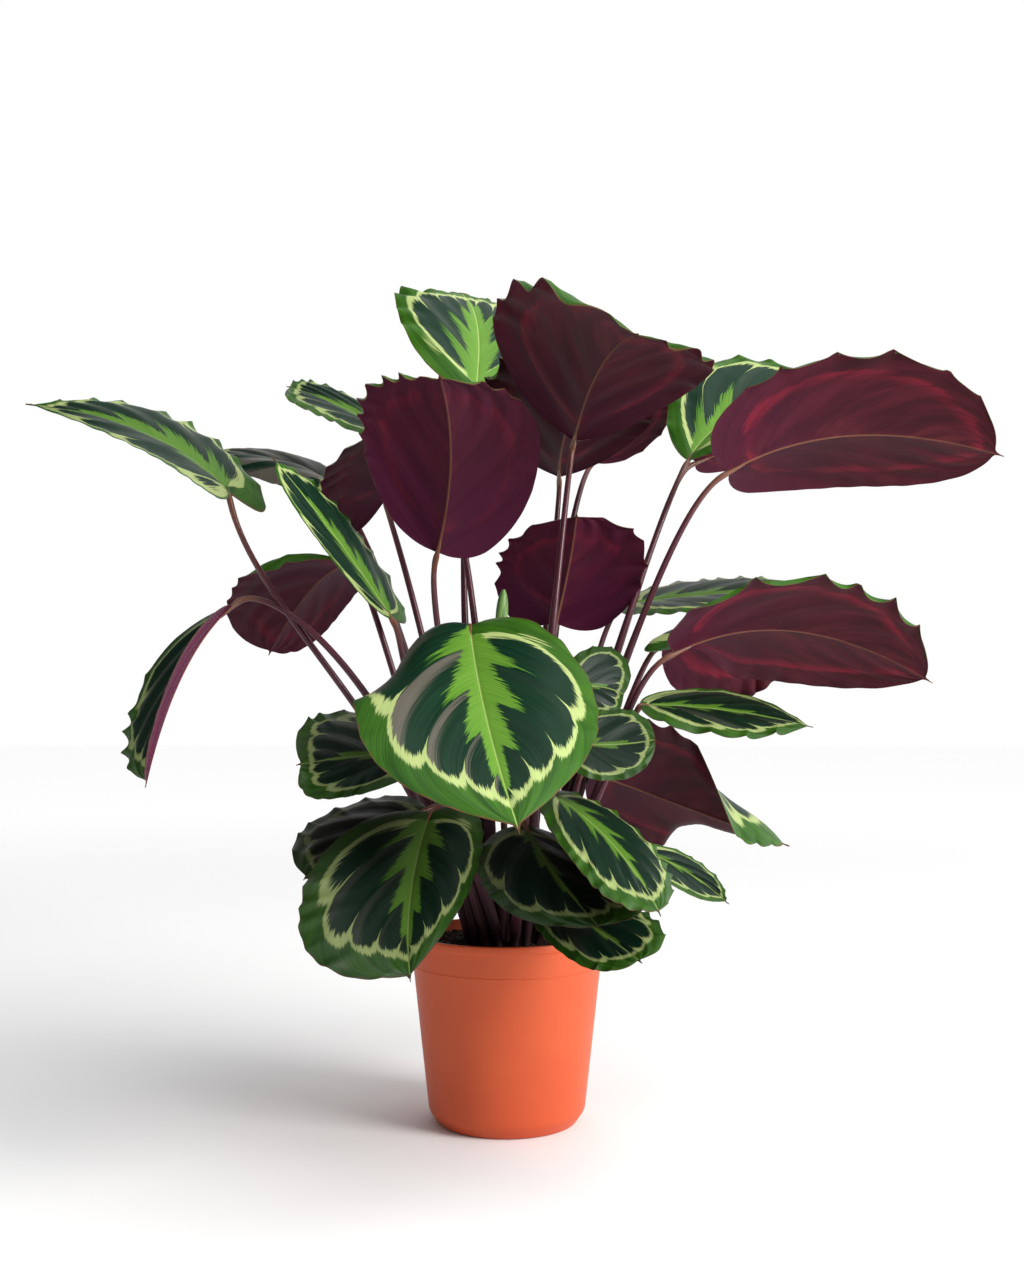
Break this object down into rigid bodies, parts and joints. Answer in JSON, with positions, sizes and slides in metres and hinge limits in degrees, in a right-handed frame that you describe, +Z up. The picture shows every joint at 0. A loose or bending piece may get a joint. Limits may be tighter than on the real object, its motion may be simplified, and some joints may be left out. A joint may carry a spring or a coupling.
{
  "type": "potted plant",
  "caption": "Potted calathea with broad waved leaves, patterned green above and burgundy below, on long stalks in a plastic grower's pot.",
  "frame": {"origin": "centre of the pot's flat underside, on the surface it stands on", "axes": "+Z up along the pot's axis; -Y towards the side seen in the picture; +X to the picture's right, along the foliage's widest spread"},
  "size_m": [0.8753, 0.507, 0.7858],
  "materials": {
    "pot_plastic": "satin",
    "soil_peat": "matte",
    "leaf_green": "satin",
    "leaf_burgundy": "satin",
    "leaf_stalk": "satin",
    "new_leaf": "satin"
  },
  "bodies": {
    "root": {"pot": "pot_plastic", "soil": "soil_peat", "leaf_new_rolled": "new_leaf", "leaf_front_left_shadow": "leaf_green", "leaf_inner_right_upper": "leaf_green", "leaf_inner_right_lower": "leaf_green", "leaf_right_tip": "leaf_green", "leaf_front_centre": "leaf_green", "leaf_front_right_lower": "leaf_green", "blade_far_left": "leaf_green", "stalk_far_left": "leaf_stalk", "blade_left_back": "leaf_green", "stalk_left_back": "leaf_stalk", "blade_left_narrow": "leaf_green", "stalk_left_narrow": "leaf_stalk", "blade_left_hanging": "leaf_burgundy", "stalk_left_hanging": "leaf_stalk", "blade_left_arching": "leaf_green", "stalk_left_arching": "leaf_stalk", "blade_centre_left": "leaf_burgundy", "stalk_centre_left": "leaf_stalk", "blade_top_green": "leaf_green", "stalk_top_green": "leaf_stalk", "blade_top_front": "leaf_burgundy", "stalk_top_front": "leaf_stalk", "blade_top_behind": "leaf_burgundy", "stalk_top_behind": "leaf_stalk", "blade_right_green": "leaf_green", "stalk_right_green": "leaf_stalk", "blade_right_behind": "leaf_burgundy", "stalk_right_behind": "leaf_stalk", "blade_right_upper": "leaf_burgundy", "stalk_right_upper": "leaf_stalk", "blade_right_lower": "leaf_burgundy", "stalk_right_lower": "leaf_stalk", "blade_right_curled": "leaf_burgundy", "stalk_right_curled": "leaf_stalk", "blade_right_far": "leaf_green", "stalk_right_far": "leaf_stalk", "blade_centre_right": "leaf_burgundy", "stalk_centre_right": "leaf_stalk", "blade_front_main": "leaf_green", "stalk_front_main": "leaf_stalk", "blade_front_left_upper": "leaf_green", "stalk_front_left_upper": "leaf_stalk", "blade_front_left_lower": "leaf_green", "stalk_front_left_lower": "leaf_stalk", "blade_right_folded": "leaf_burgundy", "stalk_right_folded": "leaf_stalk", "blade_right_slim": "leaf_green", "stalk_right_slim": "leaf_stalk", "blade_front_right_upper": "leaf_green", "stalk_front_right_upper": "leaf_stalk", "blade_left_top": "leaf_green", "stalk_left_top": "leaf_stalk", "blade_left_shadow": "leaf_burgundy", "stalk_left_shadow": "leaf_stalk", "blade_top_hidden": "leaf_burgundy", "stalk_top_hidden": "leaf_stalk"}
  },
  "joints": []
}
